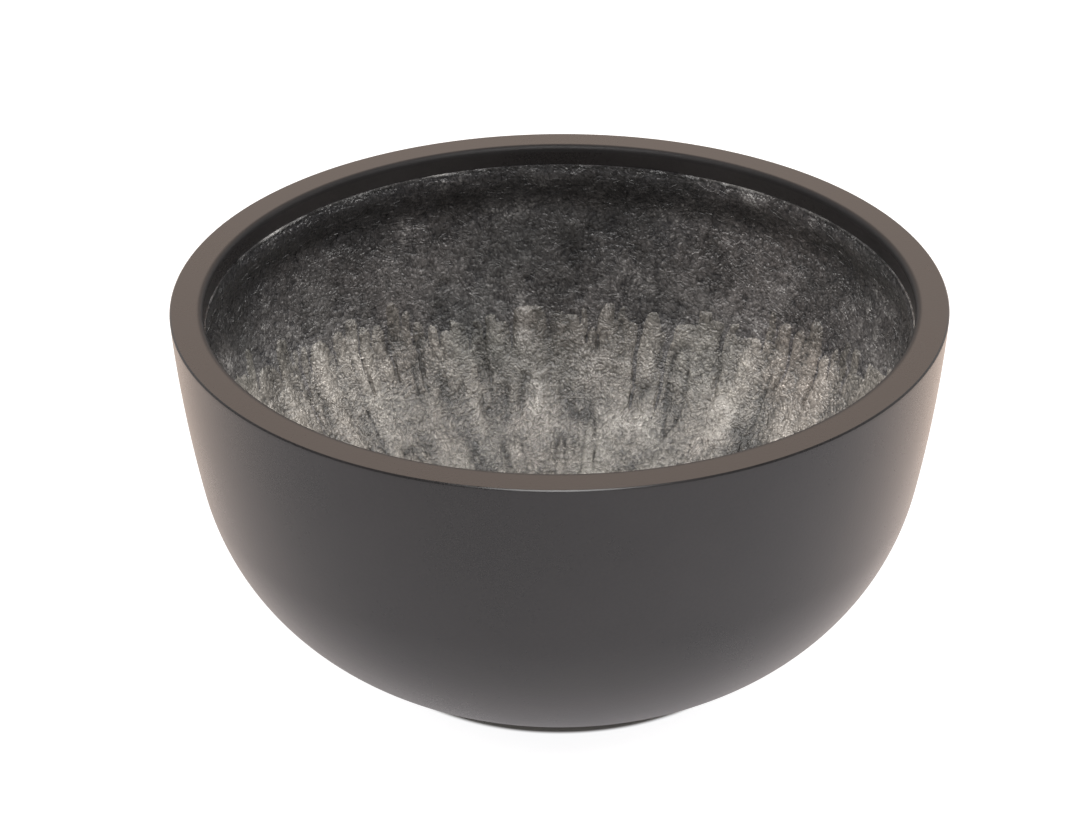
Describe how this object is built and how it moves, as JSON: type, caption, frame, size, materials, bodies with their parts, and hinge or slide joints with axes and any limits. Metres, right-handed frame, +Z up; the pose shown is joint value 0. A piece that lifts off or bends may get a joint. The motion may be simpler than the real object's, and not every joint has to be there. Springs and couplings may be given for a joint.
{
  "type": "fiberglass bowl planter",
  "caption": "Round fiberglass bowl planter with a flat returned rim, a raw mat-lined inside, a drain hole with a rubber plug, and pads under its flat base.",
  "frame": {"origin": "on the floor under the middle of the bowl, at the undersides of the foot pads", "axes": "+Z up along the bowl's axis, +Y towards the back of the bowl as the picture sees it, +X to the right"},
  "size_m": [0.6097, 0.6098, 0.3],
  "materials": {
    "gel_coat": "satin near-black gel coat, smooth, faint mottle",
    "wall_laminate": "raw chopped strand mat in charcoal resin, glossy in patches",
    "floor_laminate": "raw chopped strand mat in charcoal resin, silvery and wrinkled",
    "packing": "resin putty, matte, hidden",
    "pad_rubber": "matte black rubber",
    "plug_rubber": "matte black rubber"
  },
  "bodies": {
    "bowl": {"outer_shell": "gel_coat", "rim_core": "packing", "wall_mat_1": "wall_laminate", "wall_mat_2": "wall_laminate", "wall_mat_3": "wall_laminate", "floor_mat": "floor_laminate", "foot_pad_1": "pad_rubber", "foot_pad_2": "pad_rubber", "foot_pad_3": "pad_rubber", "foot_pad_4": "pad_rubber"},
    "plug": {"drain_plug": "plug_rubber"}
  },
  "joints": [
    {"name": "plug_lift", "type": "slide", "parent": "bowl", "child": "plug", "axis": [0, 0, 1], "range_m": [0, 0.03]}
  ]
}
